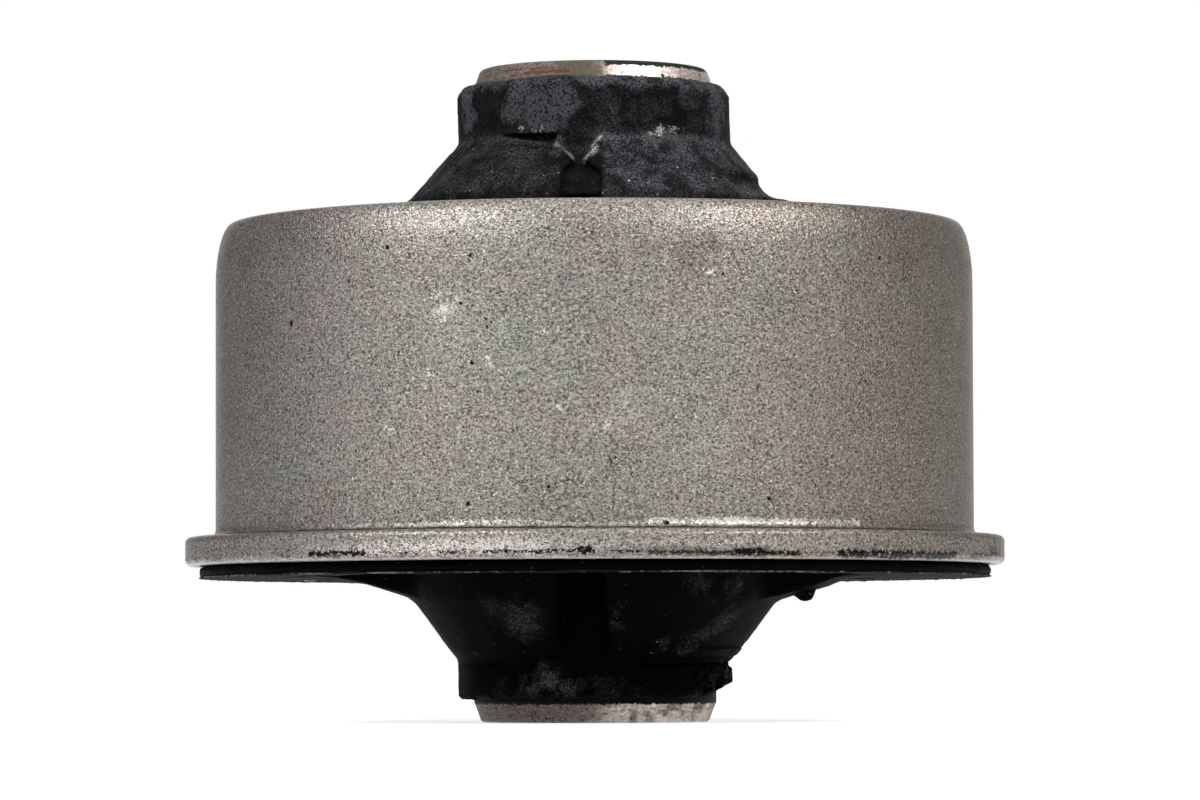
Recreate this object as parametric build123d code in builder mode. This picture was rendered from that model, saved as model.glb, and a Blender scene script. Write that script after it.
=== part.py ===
from build123d import *
import os

# Bonded rubber bush of a suspension arm, in millimetres.
# +Z runs along the bush, away from the flange. The origin is the centre of the bore, at the lower end face.
# The rubber arms lie along X, and the voids open in front (-Y) and behind (+Y).

# Inner sleeve: a steel tube with tapered ends
bore_d = 14.2
inner_wall = 2.5
overhang = 12.35         # how far it stands out of the outer sleeve, at each end
bore_chamfer = 0.4
nose_length = 1.6        # length of the taper at each end
nose_drop = 0.6          # how much the taper takes off the radius
nose_round = 0.35

# Outer sleeve: sheet steel, flanged at the bottom and drawn in at the top
sleeve_od = 60.0
sleeve_wall = 2.3
sleeve_height = 27.0
flange_width = 2.4
flange_bend = 0.6        # inside radius of the bend
flange_round = 0.5
lead_length = 4.8        # lead-in for pressing into the arm
lead_drop = 1.3
mouth_drop = 0.8         # how much the drawn end narrows inside
mouth_round = 0.5

# Rubber: collars on the inner sleeve
collar_wall = 1.25
bare_top = 1.35          # steel left bare beyond the upper collar
bare_bottom = 1.9
collar_round_top = 0.75
collar_round_bottom = 0.35

# Rubber: lobes that widen from the collars to the sleeve, with a foot where each runs out into the web
lobe_rise = 6.4          # start of the upper cone above the sleeve
lobe_fall = 7.3          # shelf at the start of the lower cone, below the flange
foot_rise = 1.3          # foot of the upper cone above the sleeve
foot_fall = 2.7          # foot of the lower cone below the flange
spread_top = 4.35        # from collar to foot, across
spread_bottom = 3.65
shelf_width = 0.3        # step out from the lower collar to the cone
shelf_rise = 0.25
foot_fillet_top = 4.0
foot_fillet_bottom = 1.5
web_run = 6.0            # from the lower foot to where the web meets the plane of the lip
web_fillet = 8.0

# Rubber: skin inside the sleeve and lip under the flange
skin_wall = 2.3
skin_gap = 0.9           # steel left bare inside the sleeve's mouth
lip_inset = 1.1          # edge of the lip inside the edge of the flange
lip_thickness = 0.9
lip_round = 0.3

# Rubber: two voids between body and skin, with the arms between them
stop_gap = 6.9           # travel from the body to the skin at mid height
void_overrun = 3.0       # mouth planes beyond the sleeve's ends
arm_width = 10.0
void_inner_round = 2.0
void_outer_round = 3.5

# Rubber: groove between the lobes, in front and behind, under the notch in the lobes' upper edge
groove_width_top = 3.1
groove_width_bottom = 3.9
groove_depth_top = 0.9   # a web of rubber behind the upper cone leaves the groove this shallow there
neck_drop = 2.3          # neck between notch and groove, below the upper edge
shoulder_drop = 0.9      # full width of the groove below the neck
shoulder_left = 0.9      # from the side of the groove to the neck, which is off centre
shoulder_right = 1.35
notch_flare_left = 1.9   # how much the notch widens from the neck up, on each side
notch_flare_right = 1.25

# Rubber: pip left by the moulding gate, under the right arm
pip_d = 1.6
pip_offset = 2.25        # beyond the foot of the lower cone
pip_y = -3.0
pip_fall = 2.85          # tip of the pip below the flange

# Radii and levels that follow from the sizes above
bore_r = bore_d / 2
inner_r = bore_r + inner_wall
inner_mid_r = bore_r + inner_wall / 2
inner_length = sleeve_height + 2 * overhang
sleeve_r = sleeve_od / 2
sleeve_bore_r = sleeve_r - sleeve_wall
sleeve_mid_r = sleeve_r - sleeve_wall / 2
sleeve_base = overhang
sleeve_top = sleeve_base + sleeve_height
flange_r = sleeve_r + flange_width
flange_top = sleeve_base + sleeve_wall
lead_start = sleeve_top - lead_length
collar_r = inner_r + collar_wall
collar_top = inner_length - bare_top
ledge_top = sleeve_top + lobe_rise
ledge_bottom = sleeve_base - lobe_fall
shelf_r = collar_r + shelf_width
foot_r_top = collar_r + spread_top
foot_r_bottom = collar_r + spread_bottom
foot_z_top = sleeve_top + foot_rise
foot_z_bottom = sleeve_base - foot_fall
web_r = foot_r_bottom + web_run
skin_r = sleeve_bore_r - skin_wall
skin_top = sleeve_top - skin_gap
lip_r = flange_r - lip_inset
lip_bottom = sleeve_base - lip_thickness
waist_r = skin_r - stop_gap


def corner_at(sketch, radius, height):
    """The corner of a half section at a radius and a height."""
    return sketch.vertices().sort_by_distance((radius, height, 0))[0]


with BuildPart() as inner_sleeve:
    nose_r = inner_r - nose_drop
    chamfer_r = bore_r + bore_chamfer
    with BuildSketch(Plane.XZ) as section:
        with BuildLine():
            Polyline(
                (bore_r, bore_chamfer),
                (chamfer_r, 0),
                (nose_r, 0),
                (inner_r, nose_length),
                (inner_r, inner_length - nose_length),
                (nose_r, inner_length),
                (chamfer_r, inner_length),
                (bore_r, inner_length - bore_chamfer),
                close=True,
            )
        make_face()
        fillet(corner_at(section, nose_r, 0), nose_round)
        fillet(corner_at(section, nose_r, inner_length), nose_round)
    revolve(axis=Axis.Z)
inner_sleeve.part.label = "inner_sleeve"


with BuildPart() as outer_sleeve:
    bend_x = sleeve_r + flange_bend
    bend_z = flange_top + flange_bend
    neck_r = sleeve_bore_r - mouth_drop
    with BuildSketch(Plane.XZ) as section:
        with BuildLine():
            Line((sleeve_r, bend_z), (sleeve_r, lead_start))
            lead_centre = (sleeve_r - lead_drop, lead_start)
            lead = EllipticalCenterArc(lead_centre, lead_drop, lead_length, 0, arc_size=90)
            Polyline(
                lead @ 1,
                (neck_r, sleeve_top),
                (sleeve_bore_r, lead_start),
                (sleeve_bore_r, bend_z),
            )
            CenterArc((bend_x, bend_z), flange_bend + sleeve_wall, 180, 90)
            Polyline(
                (bend_x, sleeve_base),
                (flange_r, sleeve_base),
                (flange_r, flange_top),
                (bend_x, flange_top),
            )
            CenterArc((bend_x, bend_z), flange_bend, 180, 90)
        make_face()
        fillet(corner_at(section, neck_r, sleeve_top), mouth_round)
        fillet(corner_at(section, flange_r, sleeve_base), flange_round)
        fillet(corner_at(section, flange_r, flange_top), flange_round)
    revolve(axis=Axis.Z)
outer_sleeve.part.label = "outer_sleeve"


def void_outline(level, body_r):
    """Kidney-shaped outline of the front void, from the body to the skin and from arm to arm."""
    with BuildSketch(Plane.XY.offset(level)) as outline:
        Circle(skin_r)
        Circle(body_r, mode=Mode.SUBTRACT)
        with Locations((0, -arm_width / 2)):
            Rectangle(2 * skin_r, 2 * skin_r, align=(Align.CENTER, Align.MIN), mode=Mode.SUBTRACT)
        inner_corners = outline.vertices().sort_by_distance((0, 0, 0))[:2]
        fillet(inner_corners, void_inner_round)
        outer_corners = outline.vertices().sort_by_distance((0, 0, 0))[-2:]
        fillet(outer_corners, void_outer_round)
    return outline.sketch.face()


# The core pins that leave the voids taper to the waist from both ends
with BuildPart() as void_pair:
    waist_level = (sleeve_base + sleeve_top) / 2
    for mouth_level in (sleeve_top + void_overrun, sleeve_base - void_overrun):
        loft([void_outline(waist_level, waist_r), void_outline(mouth_level, foot_r_bottom)], ruled=True)
    mirror(about=Plane.XZ)


# The notch narrows to a neck, under which it opens into the groove
with BuildPart() as groove_pair:
    neck_z = ledge_top - neck_drop
    neck_left = shoulder_left - groove_width_top / 2
    neck_right = groove_width_top / 2 - shoulder_right
    with BuildSketch(Plane.XZ):
        with BuildLine():
            Polyline(
                (-groove_width_bottom / 2, ledge_bottom),
                (-groove_width_top / 2, neck_z - shoulder_drop),
                (neck_left, neck_z),
                (neck_left - notch_flare_left, ledge_top),
                (neck_right + notch_flare_right, ledge_top),
                (neck_right, neck_z),
                (groove_width_top / 2, neck_z - shoulder_drop),
                (groove_width_bottom / 2, ledge_bottom),
                close=True,
            )
        make_face()
    extrude(amount=waist_r + stop_gap / 2, both=True)
    Cylinder(collar_r, 2 * inner_length, mode=Mode.SUBTRACT)
    with Locations((0, 0, foot_z_top)):
        Cone(
            foot_r_top - groove_depth_top,
            collar_r - groove_depth_top,
            ledge_top - foot_z_top,
            align=(Align.CENTER, Align.CENTER, Align.MIN),
            mode=Mode.SUBTRACT,
        )


# The rubber is moulded round both sleeves: its section overlaps them, and they are then taken out of it
with BuildPart() as rubber_body:
    with BuildSketch(Plane.XZ) as section:
        with BuildLine():
            Polyline(
                (inner_mid_r, bare_bottom),
                (collar_r, bare_bottom),
                (collar_r, ledge_bottom),
                (shelf_r, ledge_bottom + shelf_rise),
                (foot_r_bottom, foot_z_bottom),
                (web_r, lip_bottom),
                (lip_r, lip_bottom),
                (lip_r, flange_top - sleeve_wall / 2),
                (sleeve_mid_r, flange_top - sleeve_wall / 2),
                (sleeve_mid_r, skin_top),
                (skin_r, skin_top),
                (foot_r_top, foot_z_top),
                (collar_r, ledge_top),
                (collar_r, collar_top),
                (inner_mid_r, collar_top),
                close=True,
            )
        make_face()
        fillet(corner_at(section, collar_r, bare_bottom), collar_round_bottom)
        fillet(corner_at(section, foot_r_bottom, foot_z_bottom), foot_fillet_bottom)
        fillet(corner_at(section, web_r, lip_bottom), web_fillet)
        fillet(corner_at(section, lip_r, lip_bottom), lip_round)
        fillet(corner_at(section, foot_r_top, foot_z_top), foot_fillet_top)
        fillet(corner_at(section, collar_r, collar_top), collar_round_top)
    revolve(axis=Axis.Z)
    with Locations((foot_r_bottom + pip_offset, pip_y, sleeve_base - pip_fall + pip_d / 2)):
        Sphere(pip_d / 2)
        Cylinder(pip_d / 2, pip_fall, align=(Align.CENTER, Align.CENTER, Align.MIN))
    add(void_pair.part, mode=Mode.SUBTRACT)
    add(groove_pair.part, mode=Mode.SUBTRACT)
    add(outer_sleeve.part, mode=Mode.SUBTRACT)
    add(inner_sleeve.part, mode=Mode.SUBTRACT)
rubber_body.part.label = "rubber_body"


os.makedirs("parts", exist_ok=True)
export_step(outer_sleeve.part, "parts/outer_sleeve.step")
export_step(rubber_body.part, "parts/rubber_body.step")
export_step(inner_sleeve.part, "parts/inner_sleeve.step")
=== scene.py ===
import math

import bmesh
import bpy
import numpy as np
from mathutils import Matrix, Vector, noise


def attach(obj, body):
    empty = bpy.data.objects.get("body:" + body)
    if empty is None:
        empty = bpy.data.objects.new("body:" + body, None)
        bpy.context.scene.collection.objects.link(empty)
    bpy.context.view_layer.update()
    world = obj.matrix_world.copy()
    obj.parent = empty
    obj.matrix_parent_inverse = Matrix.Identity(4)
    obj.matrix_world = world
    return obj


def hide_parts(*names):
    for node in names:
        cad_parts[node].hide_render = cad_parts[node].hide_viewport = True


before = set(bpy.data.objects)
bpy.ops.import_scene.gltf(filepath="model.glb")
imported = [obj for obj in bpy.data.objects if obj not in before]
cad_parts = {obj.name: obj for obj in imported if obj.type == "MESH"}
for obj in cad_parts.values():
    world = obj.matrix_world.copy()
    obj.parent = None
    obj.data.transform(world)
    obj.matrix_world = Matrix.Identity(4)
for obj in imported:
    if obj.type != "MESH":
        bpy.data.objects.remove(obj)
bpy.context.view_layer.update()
mm = 0.001
print("frame loaded:", ", ".join(sorted(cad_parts)))

# ---- camera: where it stands, and the way from a picture point to the bush ----

camera = {
    "distance": 466.3 * mm,      # from the bush's axis
    "sideways": 0.44 * mm,
    "height": 4.58 * mm,
    "turn": math.radians(4.0),   # round the bush, towards +X
    "pitch": math.radians(2.57),
    "roll": -0.003,
    "lens": 176.45,
    "sensor": 36.0,
    "pictureWidth": 1200,
    "pictureHeight": 800,
}


def cameraMatrix():
    turn = Matrix.Rotation(camera["turn"], 4, "Z")
    place = Matrix.Translation((camera["sideways"], -camera["distance"], camera["height"]))
    pitch = Matrix.Rotation(math.pi / 2 + camera["pitch"], 4, "X")
    roll = Matrix.Rotation(camera["roll"], 4, "Z")
    return turn @ place @ pitch @ roll


def addCamera():
    data = bpy.data.cameras.new("camera")
    data.lens = camera["lens"]
    data.sensor_width = camera["sensor"]
    data.clip_start = 0.01
    data.clip_end = 20
    body = bpy.data.objects.new("camera", data)
    body.matrix_world = cameraMatrix()
    bpy.context.scene.collection.objects.link(body)
    bpy.context.scene.camera = body


# Where the line of sight through a picture point meets an upright cylinder about the axis
def pointOn(radius, across, down):
    toPixels = camera["lens"] / camera["sensor"] * camera["pictureWidth"]
    sight = Vector((across - camera["pictureWidth"] / 2, camera["pictureHeight"] / 2 - down, -toPixels))
    matrix = cameraMatrix()
    eye = matrix.translation
    way = (matrix.to_3x3() @ sight).normalized()
    a = way.x ** 2 + way.y ** 2
    b = eye.x * way.x + eye.y * way.y
    c = eye.x ** 2 + eye.y ** 2 - radius ** 2
    near = (-b - math.sqrt(max(b * b - a * c, 0))) / a
    return eye + way * near


# ---- studio ----

studio = {
    "left": {"turn": -48, "rise": 36, "away": 0.62, "wide": 0.40, "tall": 0.14, "power": 2.45},
    "right": {"turn": 49, "rise": 38, "away": 0.62, "wide": 0.42, "tall": 0.14, "power": 2.45},
    "top": {"turn": 0, "rise": 84, "away": 0.60, "wide": 0.36, "tall": 0.36, "power": 0.7},
    "cards": ({"turn": -124, "tone": 0.20}, {"turn": 124, "tone": 0.40}),  # matt screens out of view
    "cardWide": 0.40,
    "cardTall": 0.36,
    "cardAway": 0.30,
    "roomLight": 0.095,
    "floorGlow": 0.80,
    "floorColour": (0.80, 0.80, 0.80, 1),
    "floorNear": 0.10,           # the shadow keeps inside this distance, and further out the floor is plain white
    "floorFar": 0.30,
}


def addLamp(name, turn, rise, away, wide, tall, power):
    data = bpy.data.lights.new(name, "AREA")
    data.shape = "RECTANGLE"
    data.size = wide
    data.size_y = tall
    data.energy = power
    lamp = bpy.data.objects.new(name, data)
    around = math.radians(turn) + camera["turn"]
    up = math.radians(rise)
    middle = Vector((0, 0, 26 * mm))
    outwards = Vector((math.sin(around) * math.cos(up), -math.cos(around) * math.cos(up), math.sin(up)))
    lamp.location = middle + outwards * away
    lamp.rotation_mode = "QUATERNION"
    lamp.rotation_quaternion = outwards.to_track_quat("Z", "Y")
    bpy.context.scene.collection.objects.link(lamp)


def newObject(name, bm):
    mesh = bpy.data.meshes.new(name)
    bm.to_mesh(mesh)
    bm.free()
    made = bpy.data.objects.new(name, mesh)
    bpy.context.scene.collection.objects.link(made)
    return made


def addCard(turn, tone):
    bm = bmesh.new()
    bmesh.ops.create_grid(bm, x_segments=1, y_segments=1, size=0.5)
    bmesh.ops.scale(bm, vec=(studio["cardWide"], studio["cardTall"], 1), verts=bm.verts)
    bmesh.ops.rotate(bm, matrix=Matrix.Rotation(math.pi / 2, 3, "X"), verts=bm.verts)
    bmesh.ops.translate(bm, vec=(0, -studio["cardAway"], studio["cardTall"] / 2), verts=bm.verts)
    around = Matrix.Rotation(math.radians(turn) + camera["turn"], 3, "Z")
    bmesh.ops.rotate(bm, matrix=around, verts=bm.verts)
    card = newObject("sideCard", bm)
    card.visible_camera = False
    matt = bpy.data.materials.new("cardPaint")
    matt.use_nodes = True
    shader = matt.node_tree.nodes["Principled BSDF"]
    shader.inputs["Base Color"].default_value = (tone, tone, tone, 1)
    shader.inputs["Specular IOR Level"].default_value = 0
    card.data.materials.append(matt)


# ---- node helpers: each input takes a number, a colour or another node's output ----

def addNode(tree, kind, **settings):
    made = tree.nodes.new(kind)
    for key, setting in settings.items():
        setattr(made, key, setting)
    return made


def feed(tree, socket, source):
    if isinstance(source, bpy.types.NodeSocket):
        tree.links.new(source, socket)
    elif source is not None:
        socket.default_value = source


def maths(tree, operation, *values, clamp=False):
    made = addNode(tree, "ShaderNodeMath", operation=operation, use_clamp=clamp)
    for socket, source in zip(made.inputs, values):
        feed(tree, socket, source)
    return made.outputs[0]


def vectorMaths(tree, operation, *values, output="Vector"):
    made = addNode(tree, "ShaderNodeVectorMath", operation=operation)
    for socket, source in zip(made.inputs, values):
        feed(tree, socket, source)
    return made.outputs[output]


def fit(tree, source, low, high, newLow=0.0, newHigh=1.0, smooth=True):
    kind = "SMOOTHSTEP" if smooth else "LINEAR"
    made = addNode(tree, "ShaderNodeMapRange", interpolation_type=kind, clamp=not smooth)
    for socket, value in zip(made.inputs, (source, low, high, newLow, newHigh)):
        feed(tree, socket, value)
    return made.outputs["Result"]


def mixed(tree, share, first, second, blend="MIX"):
    made = addNode(tree, "ShaderNodeMix", data_type="RGBA", blend_type=blend)
    feed(tree, made.inputs["Factor"], share)
    feed(tree, made.inputs["A"], first if isinstance(first, bpy.types.NodeSocket) else (*first, 1))
    feed(tree, made.inputs["B"], second if isinstance(second, bpy.types.NodeSocket) else (*second, 1))
    return made.outputs["Result"]


def cloud(tree, place, size, detail=2.0, rough=0.5, twist=0.0):
    made = addNode(tree, "ShaderNodeTexNoise", noise_dimensions="3D")
    feed(tree, made.inputs["Vector"], place)
    feed(tree, made.inputs["Scale"], maths(tree, "DIVIDE", 1.0, size))
    made.inputs["Detail"].default_value = detail
    made.inputs["Roughness"].default_value = rough
    made.inputs["Distortion"].default_value = twist
    return made.outputs["Fac"]


# Places shifted at random by up to about half of amount, so that a border drawn on them is ragged
def shaken(tree, place, size, amount):
    made = addNode(tree, "ShaderNodeTexNoise", noise_dimensions="3D")
    feed(tree, made.inputs["Vector"], place)
    made.inputs["Scale"].default_value = 1 / size
    made.inputs["Detail"].default_value = 3.0
    made.inputs["Roughness"].default_value = 0.6
    centred = vectorMaths(tree, "SUBTRACT", made.outputs["Color"], (0.5, 0.5, 0.5))
    scaled = vectorMaths(tree, "MULTIPLY", centred, (amount * 2, amount * 2, amount * 2))
    return vectorMaths(tree, "ADD", place, scaled)


def heightOf(tree, place):
    parts = addNode(tree, "ShaderNodeSeparateXYZ")
    feed(tree, parts.inputs[0], place)
    return parts.outputs["Z"]


def radiusOf(tree, place):
    return vectorMaths(tree, "LENGTH", vectorMaths(tree, "MULTIPLY", place, (1.0, 1.0, 0.0)), output="Value")


# 1 from low to high, fading over soft outside them
def between(tree, value, low, high, soft):
    return maths(tree, "MULTIPLY", fit(tree, value, low - soft, low), fit(tree, value, high, high + soft, 1.0, 0.0))


# ---- shared effects, each a node group that puts out masks; lengths in them are millimetres ----

def newGroup(name, inputs, outputs):
    tree = bpy.data.node_groups.new(name, "ShaderNodeTree")
    for title, kind, start in inputs:
        socket = tree.interface.new_socket(title, in_out="INPUT", socket_type=kind)
        if start is not None:
            socket.default_value = start
    for title, kind in outputs:
        tree.interface.new_socket(title, in_out="OUTPUT", socket_type=kind)
    return tree, addNode(tree, "NodeGroupInput"), addNode(tree, "NodeGroupOutput")


def buildGrainGroup():
    tree, given, result = newGroup(
        "grain",
        [("Vector", "NodeSocketVector", None), ("Size", "NodeSocketFloat", 0.35), ("Sharp", "NodeSocketFloat", 0.5)],
        [("Value", "NodeSocketFloat")],
    )
    flat = vectorMaths(tree, "MULTIPLY", given.outputs["Vector"], (0.95, 0.95, 1.1))
    coarse = cloud(tree, flat, given.outputs["Size"], 1.6, 0.5, 0.7)
    worm = cloud(tree, flat, maths(tree, "MULTIPLY", given.outputs["Size"], 1.6), 1.0, 0.5, 0.9)
    folded = maths(tree, "ABSOLUTE", maths(tree, "SUBTRACT", worm, 0.5))
    ridge = fit(tree, folded, 0.0, 0.10, 0.8, 0.3)
    both = addNode(tree, "ShaderNodeMix", data_type="FLOAT")
    feed(tree, both.inputs[0], given.outputs["Sharp"])
    feed(tree, both.inputs[2], coarse)
    feed(tree, both.inputs[3], ridge)
    feed(tree, result.inputs["Value"], both.outputs[0])
    return tree


def buildSpecksGroup():
    tree, given, result = newGroup(
        "specks",
        [("Vector", "NodeSocketVector", None), ("Spacing", "NodeSocketFloat", 1.0),
         ("Radius", "NodeSocketFloat", 0.1), ("Share", "NodeSocketFloat", 0.2)],
        [("Mask", "NodeSocketFloat")],
    )
    cells = addNode(tree, "ShaderNodeTexVoronoi", feature="F1", distance="EUCLIDEAN")
    feed(tree, cells.inputs["Vector"], given.outputs["Vector"])
    feed(tree, cells.inputs["Scale"], maths(tree, "DIVIDE", 1.0, given.outputs["Spacing"]))
    pick = addNode(tree, "ShaderNodeSeparateColor")
    feed(tree, pick.inputs[0], cells.outputs["Color"])
    kept = maths(tree, "LESS_THAN", pick.outputs["Red"], given.outputs["Share"])
    own = maths(tree, "MULTIPLY", given.outputs["Radius"], fit(tree, pick.outputs["Green"], 0.0, 1.0, 0.5, 1.3, False))
    reach = maths(tree, "DIVIDE", own, given.outputs["Spacing"])
    dot = fit(tree, maths(tree, "DIVIDE", cells.outputs["Distance"], reach), 0.6, 1.1, 1.0, 0.0)
    feed(tree, result.inputs["Mask"], maths(tree, "MULTIPLY", dot, kept))
    return tree


def buildSpotGroup():
    tree, given, result = newGroup(
        "spot",
        [("Vector", "NodeSocketVector", None), ("Centre", "NodeSocketVector", None),
         ("Radius", "NodeSocketFloat", 0.3), ("Soft", "NodeSocketFloat", 0.3)],
        [("Mask", "NodeSocketFloat")],
    )
    far = vectorMaths(tree, "DISTANCE", given.outputs["Vector"], given.outputs["Centre"], output="Value")
    share = maths(tree, "DIVIDE", far, given.outputs["Radius"])
    inner = maths(tree, "SUBTRACT", 1.0, given.outputs["Soft"])
    feed(tree, result.inputs["Mask"], fit(tree, share, inner, 1.12, 1.0, 0.0))
    return tree


def buildStreakGroup():
    tree, given, result = newGroup(
        "streak",
        [("Vector", "NodeSocketVector", None), ("From", "NodeSocketVector", None), ("To", "NodeSocketVector", None),
         ("Width", "NodeSocketFloat", 0.3), ("Soft", "NodeSocketFloat", 0.45)],
        [("Mask", "NodeSocketFloat")],
    )
    way = vectorMaths(tree, "SUBTRACT", given.outputs["To"], given.outputs["From"])
    here = vectorMaths(tree, "SUBTRACT", given.outputs["Vector"], given.outputs["From"])
    along = maths(
        tree, "DIVIDE",
        vectorMaths(tree, "DOT_PRODUCT", here, way, output="Value"),
        vectorMaths(tree, "DOT_PRODUCT", way, way, output="Value"))
    along = maths(tree, "MAXIMUM", maths(tree, "MINIMUM", along, 1.0), 0.0)
    foot = addNode(tree, "ShaderNodeVectorMath", operation="SCALE")
    feed(tree, foot.inputs[0], way)
    feed(tree, foot.inputs["Scale"], along)
    far = vectorMaths(tree, "DISTANCE", here, foot.outputs[0], output="Value")
    share = maths(tree, "DIVIDE", far, given.outputs["Width"])
    inner = maths(tree, "SUBTRACT", 1.0, given.outputs["Soft"])
    feed(tree, result.inputs["Mask"], fit(tree, share, inner, 1.12, 1.0, 0.0))
    return tree


def buildSectorGroup():
    tree, given, result = newGroup(
        "sector",
        [("Vector", "NodeSocketVector", None), ("Low", "NodeSocketFloat", -20.0), ("High", "NodeSocketFloat", 20.0),
         ("Soft", "NodeSocketFloat", 4.0)],
        [("Mask", "NodeSocketFloat"), ("Angle", "NodeSocketFloat")],
    )
    parts = addNode(tree, "ShaderNodeSeparateXYZ")
    feed(tree, parts.inputs[0], given.outputs["Vector"])
    front = maths(tree, "MULTIPLY", parts.outputs["Y"], -1.0)
    angle = maths(tree, "DEGREES", maths(tree, "ARCTAN2", parts.outputs["X"], front))
    rise = fit(tree, maths(tree, "DIVIDE", maths(tree, "SUBTRACT", angle, given.outputs["Low"]), given.outputs["Soft"]),
               -0.5, 0.5)
    fall = fit(tree, maths(tree, "DIVIDE", maths(tree, "SUBTRACT", given.outputs["High"], angle), given.outputs["Soft"]),
               -0.5, 0.5)
    feed(tree, result.inputs["Mask"], maths(tree, "MULTIPLY", rise, fall))
    feed(tree, result.inputs["Angle"], angle)
    return tree


groups = {
    "grain": buildGrainGroup(),
    "specks": buildSpecksGroup(),
    "spot": buildSpotGroup(),
    "streak": buildStreakGroup(),
    "sector": buildSectorGroup(),
}


def effect(tree, name, place, output=None, **values):
    made = addNode(tree, "ShaderNodeGroup", node_tree=groups[name])
    feed(tree, made.inputs["Vector"], place)
    for title, value in values.items():
        feed(tree, made.inputs[title[0].upper() + title[1:]], value)
    return made.outputs[output or 0]


# The strongest of several spots (across, down, radius) or short lines (both ends, half width), given by points
# of the picture on an upright cylinder; a last entry, where there is one, is the mark's strength
def marks(tree, place, rows, radius, size, ragged, soft):
    strongest = None
    moved = shaken(tree, place, size, ragged)
    for row in rows:
        onto = row[0] * mm if radius is None else radius
        row = row[1:] if radius is None else row
        start = pointOn(onto, row[0], row[1]) / mm
        if len(row) < 5:
            mask = effect(tree, "spot", moved, centre=start, radius=row[2], soft=soft)
        else:
            end = pointOn(onto, row[2], row[3]) / mm
            mask = effect(tree, "streak", moved, width=row[4], soft=soft, **{"from": start, "to": end})
        if len(row) in (4, 6):
            mask = maths(tree, "MULTIPLY", mask, row[-1])
        strongest = mask if strongest is None else maths(tree, "MAXIMUM", strongest, mask)
    return strongest


def newMaterial(name):
    material = bpy.data.materials.new(name)
    material.use_nodes = True
    tree = material.node_tree
    shader = tree.nodes["Principled BSDF"]
    coordinates = addNode(tree, "ShaderNodeTexCoord")
    scale = addNode(tree, "ShaderNodeMapping")
    scale.inputs["Scale"].default_value = (1 / mm, 1 / mm, 1 / mm)
    tree.links.new(coordinates.outputs["Object"], scale.inputs["Vector"])
    return material, tree, shader, scale.outputs["Vector"]


def bumped(tree, height, distance, strength=1.0, under=None):
    made = addNode(tree, "ShaderNodeBump")
    feed(tree, made.inputs["Height"], height)
    made.inputs["Distance"].default_value = distance
    made.inputs["Strength"].default_value = strength
    feed(tree, made.inputs["Normal"], under)
    return made.outputs["Normal"]


def addStudio():
    for name in ("left", "right", "top"):
        addLamp(name, **studio[name])
    for card in studio["cards"]:
        addCard(**card)
    world = bpy.data.worlds.new("room")
    bpy.context.scene.world = world
    world.use_nodes = True
    tree = world.node_tree
    tree.nodes.clear()
    path = addNode(tree, "ShaderNodeLightPath")
    light = addNode(tree, "ShaderNodeBackground")
    light.inputs["Strength"].default_value = studio["roomLight"]
    white = addNode(tree, "ShaderNodeBackground")
    white.inputs["Color"].default_value = (1, 1, 1, 1)
    mix = addNode(tree, "ShaderNodeMixShader")
    out = addNode(tree, "ShaderNodeOutputWorld")
    seen = maths(tree, "MAXIMUM", path.outputs["Is Camera Ray"], path.outputs["Is Transmission Ray"])
    feed(tree, mix.inputs[0], maths(tree, "MAXIMUM", seen, path.outputs["Is Glossy Ray"]))
    feed(tree, mix.inputs[1], light.outputs[0])
    feed(tree, mix.inputs[2], white.outputs[0])
    feed(tree, out.inputs["Surface"], mix.outputs[0])

    bm = bmesh.new()
    bmesh.ops.create_grid(bm, x_segments=1, y_segments=1, size=3.0)
    floor = newObject("floor", bm)
    material = bpy.data.materials.new("paleFloor")
    material.use_nodes = True
    tree = material.node_tree
    tree.nodes.clear()
    path = addNode(tree, "ShaderNodeLightPath")
    place = addNode(tree, "ShaderNodeTexCoord").outputs["Object"]
    far = fit(tree, vectorMaths(tree, "LENGTH", place, output="Value"), studio["floorNear"], studio["floorFar"])
    matt = addNode(tree, "ShaderNodeBsdfDiffuse")
    matt.inputs["Color"].default_value = studio["floorColour"]
    glow = addNode(tree, "ShaderNodeEmission")
    feed(tree, glow.inputs["Strength"], fit(tree, far, 0.0, 1.0, studio["floorGlow"], 1.0, False))
    both = addNode(tree, "ShaderNodeAddShader")
    mix = addNode(tree, "ShaderNodeMixShader")
    out = addNode(tree, "ShaderNodeOutputMaterial")
    feed(tree, both.inputs[0], matt.outputs[0])
    feed(tree, both.inputs[1], glow.outputs[0])
    seen = maths(tree, "MAXIMUM", path.outputs["Is Camera Ray"], path.outputs["Is Transmission Ray"])
    feed(tree, mix.inputs[0], maths(tree, "MAXIMUM", seen, path.outputs["Is Glossy Ray"]))
    feed(tree, mix.inputs[1], matt.outputs[0])
    feed(tree, mix.inputs[2], both.outputs[0])
    feed(tree, out.inputs["Surface"], mix.outputs[0])
    floor.data.materials.append(material)
    bpy.context.scene.view_settings.view_transform = "Standard"


# ---- outer sleeve: phosphated steel, grainy, pitted, chipped at the flange ----

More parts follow.
